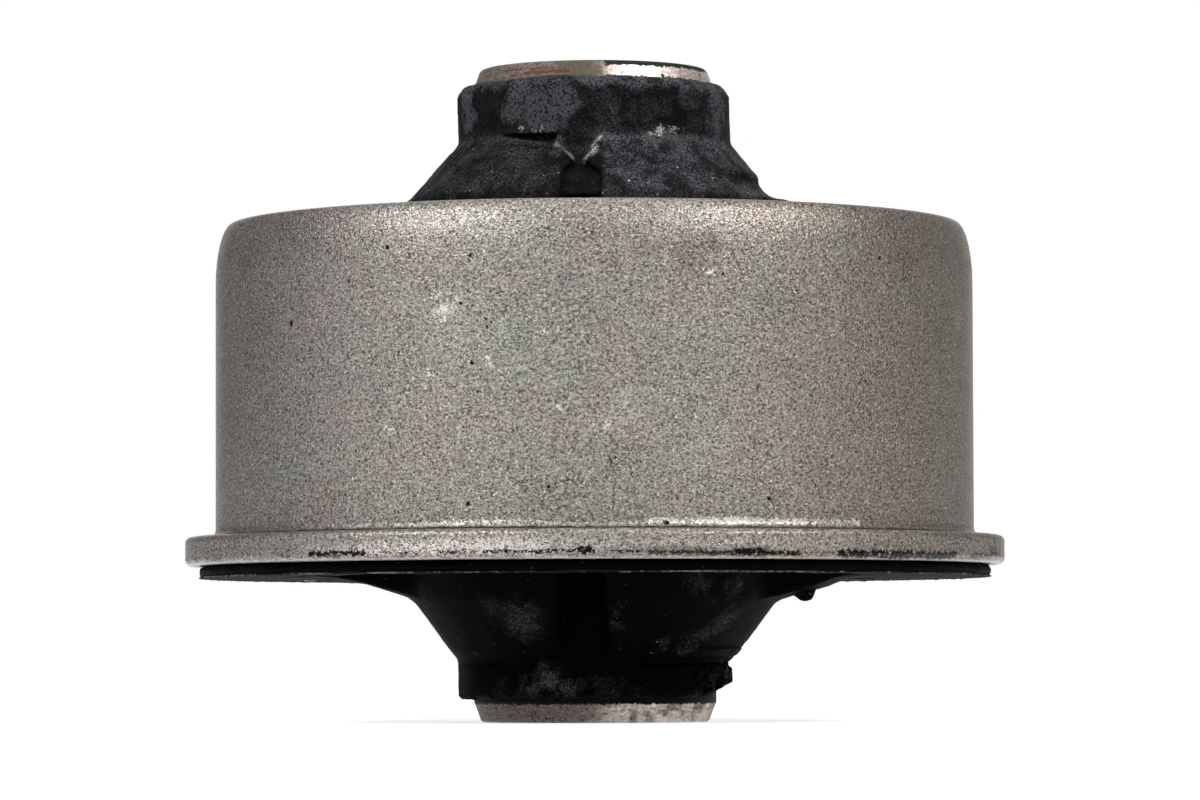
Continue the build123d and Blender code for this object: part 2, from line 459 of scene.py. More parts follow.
sleeveFinish = {
    "grey": (0.206, 0.188, 0.171),
    "pink": (0.223, 0.194, 0.179),
    "green": (0.200, 0.203, 0.179),
    "brown": (0.175, 0.145, 0.114),
    "pale": (0.62, 0.60, 0.56),
    "rubbedAndHighlit": (0.66, 0.60, 0.57),
    "stain": (0.085, 0.066, 0.044),
    "creaseShadeColour": (0.026, 0.021, 0.016),
    "olive": (0.034, 0.028, 0.015),
    "rust": (0.150, 0.060, 0.030),
    "dark": (0.005, 0.0045, 0.004),
    "grainSize": 0.168,
    "peelSize": 0.32,
    "patchSize": 7.0,
    "rough": 0.32,
    "metal": 0.64,
    "specular": 0.06,
    "wallRadius": 30 * mm,
    "rimRadius": 32.4 * mm,
    "pits": (                    # across, down, radius
        (470, 255, 0.20), (291, 323, 0.26), (383, 228, 0.18), (549, 486, 0.16), (567, 480, 0.09),
        (387, 247, 0.20), (314, 233, 0.18), (273, 250, 0.15), (497, 293, 0.15),
        (345, 495, 0.17), (468, 504, 0.16), (667, 524, 0.23), (769, 499, 0.21),
        (304, 345, 0.12), (472, 363, 0.19), (797, 290, 0.12), (723, 274, 0.12),
        (704, 235, 0.16), (880, 258, 0.20), (948, 261, 0.11), (546, 232, 0.14),
        (461, 303, 0.11), (472, 306, 0.11), (480, 312, 0.12), (491, 322, 0.12),
        (486, 319, 0.10),
        (487, 327, 0.11), (491, 291, 0.12), (873, 530, 0.24),
    ),
    "stains": (                  # across, down, radius, strength
        (692, 252, 2.0, 0.45), (712, 243, 1.1, 0.50), (668, 243, 1.2, 0.30), (640, 248, 1.0, 0.25),
        (905, 262, 2.0, 0.30), (245, 262, 1.6, 0.30), (250, 330, 2.4, 0.20), (232, 420, 2.4, 0.20),
        (940, 330, 2.2, 0.25), (925, 440, 2.6, 0.18), (770, 300, 1.6, 0.15), (540, 500, 3.0, 0.12), (330, 500, 2.4, 0.14),
        (820, 470, 2.6, 0.14), (958, 505, 1.6, 0.30),
    ),
    "hairs": (                   # across, down at each end, half width, strength
        (612, 451, 609, 456, 0.09, 0.55), (609, 456, 611, 462, 0.11, 0.75), (611, 462, 618, 464.5, 0.09, 0.55),
        (618, 464.5, 630, 463, 0.07, 0.30),
    ),
    "faded": (
        (628, 412, 2.4, 0.12), (660, 395, 1.8, 0.10), (590, 425, 1.6, 0.10), (958, 318, 1.3, 0.22),
        (450, 330, 3.0, 0.08), (700, 450, 2.4, 0.07),
    ),
    "scuffs": (                  # across, down, radius
        (383, 427, 393, 430, 0.20), (386, 433, 0.22), (378, 425, 0.16), (434, 296, 440, 294, 0.20),
        (437, 310, 454, 306, 0.42), (436, 313, 446, 310, 0.40), (440, 318, 446, 316, 0.26), (440, 322, 0.22),
        (456, 298, 0.40), (488, 361, 0.35), (430, 372, 0.4), (500, 322, 0.35),
        (560, 405, 0.4), (605, 425, 0.5), (712, 272, 0.4), (466, 205, 0.5),
        (678, 531, 683, 530, 0.14),
    ),
    "paintedHighlightDashes": (                  # across, down at each end, half width; pale dashes painted as the highlight along the foot of the wall
        (440, 521, 490, 520.5, 0.15), (490, 520.5, 540, 520, 0.15), (650, 519.5, 700, 520, 0.24),
        (700, 520, 730, 520.5, 0.32), (730, 520.5, 795, 521, 0.32), (795, 521, 860, 522, 0.26),
    ),
    "rubsAndHighlight": (                    # on the flange's rim: worn bright, and partly a painted highlight where the lamps light the rim
        (310, 551, 362, 549, 0.7, 0.4), (362, 549, 410, 547, 0.80, 0.9), (410, 547, 460, 546, 0.85, 1.0),
        (460, 546, 510, 545, 0.85, 1.0), (510, 545, 545, 545, 0.85, 0.8), (560, 543, 610, 543, 0.8, 0.25),
        (610, 543, 680, 543, 0.8, 0.12), (680, 543, 760, 543.5, 0.8, 0.20), (760, 543.5, 850, 545, 0.8, 0.16),
        (946, 546, 947, 550, 0.12), (921, 558, 926, 558, 0.18),
    ),
    "chips": (
        (273, 556, 290, 555.5, 0.07), (310, 554, 340, 553.5, 0.24), (340, 553.5, 365, 553, 0.20),
        (380, 553, 430, 552.5, 0.10), (440, 552, 500, 551.5, 0.12), (505, 551.5, 560, 551, 0.15),
        (582, 549.5, 590, 549.5, 0.34), (562, 551, 640, 551.5, 0.14), (738, 552, 764, 552.5, 0.36),
        (700, 552.5, 734, 553, 0.24, 0.9), (766, 553, 800, 553.5, 0.22), (994, 540, 995, 543, 0.22, 0.8),
        (990, 549, 997, 551, 0.26, 0.7), (972, 556, 990, 556, 0.26, 0.8),
        (764, 552, 800, 552.5, 0.07), (800, 552.5, 835, 553, 0.07), (842, 554, 867, 554.5, 0.40),
        (873, 554.5, 912, 555, 0.42), (918, 555.5, 956, 555.5, 0.36), (650, 551.5, 700, 552, 0.16, 0.9),
        (990, 554, 1000, 554, 0.14),
    ),
    "oliveChips": (
        (600, 550.5, 650, 551, 0.30, 0.35), (650, 550.5, 705, 551, 0.50, 0.6), (705, 551, 735, 551, 0.40, 0.4),
        (735, 550.5, 768, 551, 0.50, 0.7), (768, 551, 840, 552, 0.30, 0.3),
    ),
    "rustSpots": ((1000, 549, 0.9), (995, 544, 0.8, 0.7), (996, 552, 0.7, 0.6)),
    "chipMiddle": 12.72,
    "edgeTop": 12.52,
    "creaseShade": (14.40, 14.72),
}


def phosphatedSteel():
    look = sleeveFinish
    material, tree, shader, place = newMaterial("phosphatedSteel")
    grain = effect(tree, "grain", place, size=look["grainSize"], sharp=0.15)
    patch = cloud(tree, place, look["patchSize"], 3.0, 0.55, 0.4)
    other = cloud(tree, place, look["patchSize"] * 0.62, 3.0, 0.6, 0.8)
    colour = mixed(tree, fit(tree, patch, 0.36, 0.66), look["grey"], look["pink"])
    colour = mixed(tree, fit(tree, other, 0.42, 0.74), colour, look["green"])
    brownSide = effect(tree, "sector", place, low=28.0, high=178.0, soft=50.0)
    colour = mixed(tree, maths(tree, "MULTIPLY", brownSide, 0.65), colour, look["brown"])
    stained = marks(tree, place, look["stains"], look["wallRadius"], 1.2, 1.6, 0.9)
    colour = mixed(tree, stained, colour, look["stain"])
    faded = marks(tree, place, look["faded"], look["wallRadius"], 1.5, 2.0, 0.95)
    colour = mixed(tree, faded, colour, look["pale"])
    lightness = fit(tree, grain, 0.34, 0.66, 0.24, 1.76, False)
    shade = addNode(tree, "ShaderNodeCombineColor")
    for socket in shade.inputs:
        feed(tree, socket, lightness)
    colour = mixed(tree, 1.0, colour, shade.outputs[0], "MULTIPLY")

    broken = fit(tree, cloud(tree, place, 0.42, 3.0, 0.65), 0.38, 0.50)
    # painted glints: pale specks put into the colour all over the steel
    paintedGlints = fit(tree, cloud(tree, place, 0.21, 2.0, 0.65), 0.60, 0.72, 0.0, 0.80)
    colour = mixed(tree, paintedGlints, colour, look["pale"])
    pits = effect(tree, "specks", place, spacing=3.4, radius=0.18, share=0.13)
    pits = maths(tree, "MAXIMUM", pits, marks(tree, place, look["pits"], look["wallRadius"], 0.3, 0.22, 0.45))
    pale = marks(tree, place, look["scuffs"], look["wallRadius"], 0.5, 0.9, 0.75)
    pale = maths(tree, "MULTIPLY", pale, fit(tree, grain, 0.42, 0.56, 0.30, 1.0))
    # painted highlight: pale dashes along the wall's foot, broken into pieces
    paintedHighlightDashes = marks(tree, place, look["paintedHighlightDashes"], look["wallRadius"], 0.25, 0.45, 0.8)
    pale = maths(tree, "MAXIMUM", pale, maths(tree, "MULTIPLY", paintedHighlightDashes, broken))
    colour = mixed(tree, pale, colour, look["pale"])

    # the flange: bright where it is rubbed and where a highlight is painted on the rim, chipped above the lower edge,
    # painted shade in the crease on top
    height = heightOf(tree, place)
    outside = fit(tree, radiusOf(tree, place), 31.7, 32.1)
    # worn bright metal on the rim, and partly a painted highlight
    rubbedAndHighlit = marks(tree, place, look["rubsAndHighlight"], look["rimRadius"], 0.6, 0.8, 0.9)
    rubbedAndHighlit = maths(tree, "MULTIPLY", rubbedAndHighlit, fit(tree, grain, 0.36, 0.62, 0.05, 0.90))
    wander = cloud(tree, place, 0.9, 3.0, 0.6)
    edge = fit(tree, maths(tree, "ADD", height, maths(tree, "MULTIPLY", wander, 0.5)),
               look["edgeTop"] + 0.15, look["edgeTop"] + 0.32, 0.50, 0.0)
    rubbedAndHighlit = maths(tree, "MULTIPLY", maths(tree, "MAXIMUM", rubbedAndHighlit, edge), outside)
    colour = mixed(tree, rubbedAndHighlit, colour, look["rubbedAndHighlit"])
    middle = maths(tree, "SUBTRACT", maths(tree, "ADD", height, maths(tree, "MULTIPLY", wander, -0.9)),
                   look["chipMiddle"] - 0.45)
    run = fit(tree, cloud(tree, place, 3.4, 3.0, 0.6), 0.44, 0.56)
    away = maths(tree, "SUBTRACT", 1.0, effect(tree, "sector", place, low=-58.0, high=70.0, soft=8.0))
    band = fit(tree, maths(tree, "ABSOLUTE", middle), 0.06, 0.22, 1.0, 0.0)
    chips = maths(tree, "MULTIPLY", maths(tree, "MULTIPLY", band, run), maths(tree, "MULTIPLY", outside, away))
    chips = maths(tree, "MAXIMUM", chips, marks(tree, place, look["chips"], look["rimRadius"], 0.28, 0.45, 0.4))
    chips = maths(tree, "MULTIPLY", chips, fit(tree, cloud(tree, place, 0.34, 2.0, 0.6), 0.34, 0.44))
    olive = marks(tree, place, look["oliveChips"], look["rimRadius"], 0.4, 0.6, 0.8)
    olive = maths(tree, "MULTIPLY", olive, fit(tree, broken, 0.0, 1.0, 0.12, 0.95))
    colour = mixed(tree, olive, colour, look["olive"])
    rust = marks(tree, place, look["rustSpots"], look["rimRadius"], 0.6, 0.6, 0.8)
    colour = mixed(tree, maths(tree, "MULTIPLY", rust, 0.85), colour, look["rust"])
    # painted shade: a dark band in the crease where the wall meets the flange's top
    creaseShade = maths(tree, "ADD", height, maths(tree, "MULTIPLY", maths(tree, "SUBTRACT", wander, 0.5), 0.4))
    creaseShade = maths(tree, "MULTIPLY", between(tree, creaseShade, *look["creaseShade"], 0.16),
                   fit(tree, radiusOf(tree, place), 31.75, 32.05, 0.95, 0.0))
    colour = mixed(tree, creaseShade, colour, look["creaseShadeColour"])
    hairs = marks(tree, place, look["hairs"], look["wallRadius"], 0.4, 0.06, 0.6)
    pitted = maths(tree, "MAXIMUM", pits, hairs)
    colour = mixed(tree, maths(tree, "MAXIMUM", chips, pitted), colour, look["dark"])
    feed(tree, shader.inputs["Base Color"], colour)
    shader.inputs["Roughness"].default_value = look["rough"]
    shader.inputs["Metallic"].default_value = look["metal"]
    shader.inputs["Specular IOR Level"].default_value = look["specular"]
    peel = cloud(tree, place, look["peelSize"], 1.0, 0.5, 0.8)
    relief = maths(tree, "ADD", maths(tree, "MULTIPLY", grain, 1.1), maths(tree, "MULTIPLY", peel, 0.8))
    relief = maths(tree, "SUBTRACT", relief, maths(tree, "MULTIPLY", pits, 0.9))
    feed(tree, shader.inputs["Normal"], bumped(tree, relief, 0.046 * mm))
    return material


# ---- inner sleeve: turned steel, bare at both ends, with old coating and a rusty side ----

endFinish = {
    "bare": (0.62, 0.53, 0.48),
    "dull": (0.100, 0.079, 0.070),
    "olive": (0.090, 0.077, 0.050),
    "rust": (0.085, 0.040, 0.025),
    "coating": (0.014, 0.019, 0.016),
    "primer": (0.034, 0.014, 0.010),
    "glue": (0.004, 0.003, 0.003),
    "edge": (0.45, 0.46, 0.47),
    "specular": 0.08,
    "radius": 9.35 * mm,
    "bright": {"low": 9.0, "high": 80.0, "soft": 3.0},
    "brightHeight": (50.42, 51.25),
    "oliveSide": {"low": -14.0, "high": 8.0, "soft": 9.0},
    "dullSide": {"low": -150.0, "high": 8.0, "soft": 30.0},
    "topEnd": 50.2,
    "primerHeight": (1.50, 1.64),
    "nicks": ((662, 76, 664, 82, 0.20), (700, 74, 701, 76, 0.14)),
    "scratches": (
        (530, 68.5, 552, 66.5, 0.20), (552, 66.5, 566, 66.5, 0.18), (525, 73, 548, 71.5, 0.18),
        (548, 71.5, 568, 70.5, 0.17), (500, 71, 522, 68.5, 0.17), (512, 76, 540, 74, 0.16),
    ),
}


def bareSteel():
    look = endFinish
    material, tree, shader, place = newMaterial("bareSteel")
    ragged = shaken(tree, place, 0.6, 1.5)
    turned = vectorMaths(tree, "MULTIPLY", place, (0.5, 0.5, 3.0))
    streaks = cloud(tree, turned, 0.55, 3.0, 0.65)
    fine = effect(tree, "grain", place, size=0.22, sharp=0.1)
    height = heightOf(tree, shaken(tree, place, 0.35, 0.28))
    top = fit(tree, height, look["topEnd"] - 0.2, look["topEnd"])

    dull = effect(tree, "sector", place, **look["dullSide"])
    worn = maths(tree, "MULTIPLY", dull, maths(tree, "ADD", maths(tree, "MULTIPLY", top, 0.25), 0.6))
    worn = maths(tree, "MAXIMUM", worn, fit(tree, cloud(tree, place, 3.0, 3.0, 0.6), 0.52, 0.70, 0.0, 0.6))
    colour = mixed(tree, worn, look["bare"], look["dull"])
    shade = addNode(tree, "ShaderNodeCombineColor")
    for socket in shade.inputs:
        feed(tree, socket, fit(tree, maths(tree, "ADD", streaks, fine), 0.70, 1.30, 0.42, 1.50, False))
    colour = mixed(tree, 1.0, colour, shade.outputs[0], "MULTIPLY")
    rusty = fit(tree, cloud(tree, place, 0.30, 3.0, 0.7), 0.53, 0.66)
    rusty = maths(tree, "MULTIPLY", rusty, fit(tree, worn, 0.0, 0.7, 0.25, 0.9))
    bands = maths(tree, "MULTIPLY", fit(tree, streaks, 0.55, 0.66), maths(tree, "MULTIPLY", dull, top))
    rusty = maths(tree, "MAXIMUM", rusty, maths(tree, "MULTIPLY", bands, 0.7))
    colour = mixed(tree, rusty, colour, look["rust"])
    olive = maths(tree, "MULTIPLY", effect(tree, "sector", ragged, **look["oliveSide"]), top)
    colour = mixed(tree, maths(tree, "MULTIPLY", olive, 0.8), colour, look["olive"])

    bright = maths(tree, "MULTIPLY", effect(tree, "sector", ragged, **look["bright"]), top)
    above = fit(tree, height, look["brightHeight"][1], look["brightHeight"][1] + 0.10)
    below = fit(tree, height, look["brightHeight"][0], look["brightHeight"][0] + 0.08, 1.0, 0.0)
    coated = maths(tree, "MULTIPLY", bright, above)
    colour = mixed(tree, maths(tree, "MULTIPLY", bright, below), colour, look["rust"])
    backCoat = fit(tree, cloud(tree, place, 4.0, 3.0, 0.6), 0.56, 0.60)
    coated = maths(tree, "MAXIMUM", coated, maths(tree, "MULTIPLY", backCoat, fit(tree, height, 51.2, 51.3)))
    coated = maths(tree, "MAXIMUM", coated, marks(tree, place, look["nicks"], look["radius"], 0.25, 0.12, 0.4))
    scratched = marks(tree, place, look["scratches"], look["radius"], 0.25, 0.15, 0.6)
    colour = mixed(tree, maths(tree, "MULTIPLY", scratched, 0.85), colour, look["rust"])
    colour = mixed(tree, coated, colour, look["coating"])
    primed = between(tree, height, look["primerHeight"][0], 3.0, 0.10)
    primer = mixed(tree, fit(tree, height, *look["primerHeight"]), look["primer"], look["glue"])
    colour = mixed(tree, primed, colour, primer)
    pale = maths(tree, "MULTIPLY", fit(tree, height, 0.12, 0.30, 1.0, 0.0), fit(tree, fine, 0.42, 0.55))
    colour = mixed(tree, maths(tree, "MULTIPLY", pale, 0.6), colour, look["edge"])
    feed(tree, shader.inputs["Base Color"], colour)
    dullness = maths(tree, "MAXIMUM", maths(tree, "MAXIMUM", coated, rusty), maths(tree, "MAXIMUM", primed, olive))
    dullness = maths(tree, "MAXIMUM", dullness, worn)
    feed(tree, shader.inputs["Metallic"], fit(tree, dullness, 0.0, 1.0, 0.8, 0.1))
    feed(tree, shader.inputs["Roughness"], fit(tree, dullness, 0.0, 1.0, 0.36, 0.55))
    shader.inputs["Specular IOR Level"].default_value = look["specular"]
    relief = maths(tree, "SUBTRACT", maths(tree, "ADD", fine, streaks), maths(tree, "MULTIPLY", coated, -0.6))
    feed(tree, shader.inputs["Normal"], bumped(tree, relief, 0.03 * mm))
    return material


# ---- rubber body: a merged copy of the moulding, remeshed finely, worn and torn ----

rubberShape = {                  # lengths in mm, turns in degrees from the front towards +X
    "voxel": 0.27,
    "voxelQuick": 0.45,
    "smoothTimes": 2,
    "mostTriangles": 188000,
    "wave": {"size": 3.2, "height": 0.07, "seed": 1},      # the moulding isn't quite true
    "pebble": {"size": 0.55, "height": 0.022, "seed": 2},
    "fineCuts": 2,
    "fineZones": (               # turn, height and radius within which the mesh is cut finer first
        ((-39, -9), (44.7, 46.4), (10.4, 11.8)),
        ((-16, 12), (42.4, 46.2), (10.4, 13.6)),
        ((-70, 92), (4.5, 5.9), (10.4, 12.2)),
        ((-32, 120), (1.8, 4.4), (9.9, 11.2)),
        ((-180, 180), (1.8, 2.5), (9.9, 11.2)),
    ),
    "undercut": {"turn": (-33.0, -12.5), "low": 45.12, "high": 45.76, "taper": 0.022, "deep": 1.1, "brow": 0.16},
    "notchRidge": {"lines": ((-2.12, 45.25, -0.85, 43.7), (1.35, 45.5, 0.26, 43.6)), "width": 0.34, "height": 0.20},
    "ledges": (
        {"turn": (24, 86), "proud": 0.20, "deep": 0.30},
        {"turn": (-66, -13), "proud": 0.05, "deep": 0.05},
    ),
    "grooveEdge": {"turn": (8.0, 12.0), "deep": 0.30},
    "torn": {"turn": (84, 112), "lift": 1.10, "notch": 0.30},
    "rags": (                    # rough torn skin
        {"turn": (-27, -3), "height": (2.2, 4.2)},
        {"turn": (52, 84), "height": (2.4, 4.3)},
    ),
    "rag": {"size": 0.45, "height": 0.18, "seed": 5},
    "fringe": {"size": 0.6, "height": 0.13, "seed": 6},
    "rimWave": {"size": 2.4, "height": 0.08, "seed": 7},
    "rimDrop": 0.24,
    "rightFlank": {"turn": (62, 140), "hollow": 0.55, "foot": 0.38},
    "webDrop": {"left": -0.20, "right": 0.12},
    "webRadius": (15.4, 18.2),
    "lip": {"radius": 31.3, "bottom": 11.45, "round": 0.3},
}


def pointArray(mesh, data, name="co"):
    count = len(getattr(mesh, data))
    flat = np.zeros(count * 3, np.float32)
    getattr(mesh, data).foreach_get(name, flat)
    return flat.reshape(count, 3).astype(float)


def floatArray(mesh, name, values):
    layer = mesh.attributes.new(name, "FLOAT", "POINT")
    layer.data.foreach_set("value", values.astype(np.float32))


# Soft noise from about -height to height, of features as large as size
def cloudArray(points, size, height, seed, stretch=1.0):
    shift = Vector((seed * 17.3, seed * 5.9, seed * 11.1))
    scaled = points / size
    scaled[:, 2] /= stretch
    return np.array([noise.noise(Vector(p) + shift) for p in scaled]) * 1.6 * height


def rise(values, low, high):
    share = np.clip((values - low) / (high - low), 0, 1)
    return share * share * (3 - 2 * share)


def band(values, limits, soft):
    return rise(values, limits[0] - soft, limits[0]) * (1 - rise(values, limits[1], limits[1] + soft))


def remeshed(nodeName, name):
    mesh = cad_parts[nodeName].data.copy()
    bm = bmesh.new()
    bm.from_mesh(mesh)
    bmesh.ops.remove_doubles(bm, verts=bm.verts, dist=0.002 * mm)
    rough = newObject(name + "Rough", bm)
    dense = rough.modifiers.new("dense", "REMESH")
    dense.mode = "VOXEL"
    dense.voxel_size = mm * rubberShape["voxel"]
    soft = rough.modifiers.new("soft", "SMOOTH")
    soft.factor = 0.5
    soft.iterations = rubberShape["smoothTimes"]
    graph = bpy.context.evaluated_depsgraph_get()
    made = bpy.data.objects.new(name, bpy.data.meshes.new_from_object(rough.evaluated_get(graph)))
    bpy.context.scene.collection.objects.link(made)
    bpy.data.objects.remove(rough)
    return made


# Moves of the moulding's points, in mm: away from the axis and up
def wornMoves(points):
    look = rubberShape
    radius = np.hypot(points[:, 0], points[:, 1])
    turn = np.degrees(np.arctan2(points[:, 0], -points[:, 1]))
    height = points[:, 2]
    outwards = np.zeros(len(points))
    upwards = np.zeros(len(points))
    loose = rise(radius, 9.9, 10.4)             # what is bonded to the inner sleeve stays

    # the edges of the notch are drawn up into two blunt ridges
    ridge = look["notchRidge"]
    for startAcross, startUp, endAcross, endUp in ridge["lines"]:
        way = np.array((endAcross - startAcross, endUp - startUp))
        here = np.stack((points[:, 0] - startAcross, height - startUp), axis=1)
        along = np.clip(here @ way / (way @ way), 0, 1)
        far = np.hypot(*(here - along[:, None] * way).T)
        outwards += ridge["height"] * (1 - rise(far, 0.05, ridge["width"])) * loose * (points[:, 1] < 0)

    # the upper left lobe's edge stands clear of the collar, over a slot that thins out to the left
    cut = look["undercut"]
    low = height - cut["taper"] * (cut["turn"][1] - turn)
    across = rise(turn, cut["turn"][0] - 4, cut["turn"][0] + 6) * (1 - rise(turn, cut["turn"][1], cut["turn"][1] + 1.5))
    slot = rise(low, cut["low"] - 0.08, cut["low"] + 0.08) * (1 - rise(height, cut["high"], cut["high"] + 0.16))
    outwards -= cut["deep"] * across * slot * loose
    outwards += cut["brow"] * across * band(low, (cut["low"] - 0.40, cut["low"] - 0.15), 0.22) * loose

    flank = look["rightFlank"]
    side = band(turn, flank["turn"], 34) * (1 - rise(radius, 14.6, 15.6))
    outwards -= flank["hollow"] * side * band(height, (41.9, 42.3), 1.0)
    foot = band(turn, (64, 118), 18) * rise(radius, 14.6, 16.0) * (1 - rise(radius, 17.5, 20.5))
    upwards += flank["foot"] * foot * rise(height, 36, 38)

    for ledge in look["ledges"]:
        across = band(turn, ledge["turn"], 4) * loose
        outwards += ledge["proud"] * across * band(height, (5.35, 5.7), 0.25)
        outwards -= ledge["deep"] * across * band(height, (4.6, 4.95), 0.20)
    edge = look["grooveEdge"]
    outwards -= edge["deep"] * band(turn, edge["turn"], 1.2) * band(height, (5.8, 9.6), 0.5) * loose

    # the web sags a little below the lip beside the right lobe, and is drawn up beside the left one
    beside = 1 - rise(np.abs(np.abs(turn) - 90), 20, 42)
    drop = np.where(turn < 0, look["webDrop"]["left"], look["webDrop"]["right"])
    upwards -= drop * beside * band(radius, look["webRadius"], 1.8) * (1 - rise(height, 13, 15))

    # the lip's edge goes back to the true round that the remesh has left in steps
    lip = look["lip"]
    past = np.maximum(radius - lip["radius"] + lip["round"], 0)
    under = np.maximum(lip["bottom"] + lip["round"] - height, 0)
    share = lip["round"] / np.maximum(np.hypot(past, under), 0.05) - 1
    share *= rise(radius, lip["radius"] - 0.45, lip["radius"] - 0.28) * (1 - rise(height, 12.0, 12.2))
    outwards += past * share
    upwards -= under * share

    # the lower collar is torn away on the right, and ragged all round
    torn = look["torn"]
    inside = 1 - rise(radius, 12, 13)
    across = band(turn, torn["turn"], 30)
    upwards += torn["lift"] * across * (1 - rise(height, 1.9, 3.4)) * inside
    outwards -= torn["notch"] * band(turn, torn["turn"], 12) * band(height, (4.5, 4.75), 0.30) * loose
    flat = points * (1, 1, 0)
    upwards += cloudArray(flat, **look["fringe"]) * (1 - rise(height, 1.9, 2.6)) * inside
    upwards += cloudArray(flat, **look["rimWave"]) * rise(height, 49.2, 50.0)
    upwards -= look["rimDrop"] * rise(height, 49.0, 50.1) * rise(radius, 10.0, 10.8)
    rough = cloudArray(points, **look["rag"], stretch=1.3)
    for rag in look["rags"]:
        outwards += rough * band(turn, rag["turn"], 5) * band(height, rag["height"], 0.5) * loose
    return outwards, upwards


def cutFiner(mesh):
    points = pointArray(mesh, "vertices") / mm
    radius = np.hypot(points[:, 0], points[:, 1])
    turn = np.degrees(np.arctan2(points[:, 0], -points[:, 1]))
    inside = np.zeros(len(points), bool)
    for limits in rubberShape["fineZones"]:
        zone = np.ones(len(points), bool)
        for values, (low, high) in zip((turn, points[:, 2], radius), limits):
            zone &= (values > low) & (values < high)
        inside |= zone
    bm = bmesh.new()
    bm.from_mesh(mesh)
    bm.verts.ensure_lookup_table()
    edges = {edge for index in np.flatnonzero(inside) for edge in bm.verts[index].link_edges}
    bmesh.ops.subdivide_edges(bm, edges=list(edges), cuts=rubberShape["fineCuts"], use_grid_fill=True)
    bm.to_mesh(mesh)
    bm.free()


def buildRubber():
    look = rubberShape
    rubber = remeshed("rubber_body", "rubberMoulding")
    mesh = rubber.data
    cutFiner(mesh)
    print("rubber remeshed:", len(mesh.vertices), "points")
    points = pointArray(mesh, "vertices") / mm
    normals = pointArray(mesh, "vertex_normals", "vector")
    move = cloudArray(points, **look["wave"]) + cloudArray(points, **look["pebble"])
    outwards, upwards = wornMoves(points)
    radial = points * (1, 1, 0)
    radial /= np.linalg.norm(radial, axis=1)[:, None]
    points += normals * move[:, None] + radial * outwards[:, None]
    points[:, 2] += upwards
    mesh.vertices.foreach_set("co", (points * mm).astype(np.float32).ravel())
    mesh.update()
    thin = rubber.modifiers.new("thin", "DECIMATE")
    thin.ratio = min(1.0, look["mostTriangles"] / (2 * len(mesh.polygons)))
    graph = bpy.context.evaluated_depsgraph_get()
    rubber.data = bpy.data.meshes.new_from_object(rubber.evaluated_get(graph))
    rubber.modifiers.clear()
    rubber.data.shade_smooth()
    points = pointArray(rubber.data, "vertices") / mm
    normals = pointArray(rubber.data, "vertex_normals", "vector")
    # dust on the upper rubber's upward faces, twice as strong on the right half; in the front groove it is mostly held
    # back as painted shade
    shadedGroove = band(points[:, 0], (-1.6, 1.6), 0.25) * band(points[:, 2], (38, 43.9), 0.5) * (points[:, 1] < 0)
    onRight = rise(points[:, 0], -2, 2)
    settledAndShaded = rise(normals[:, 2], -0.25, 0.75) * rise(points[:, 2], 14, 30) * (1 - 0.85 * shadedGroove)
    settledAndShaded *= 0.52 + 0.52 * onRight
    floatArray(rubber.data, "dustAndPaintedLight", settledAndShaded)
    print("rubber thinned:", len(rubber.data.polygons), "faces")
    return rubber


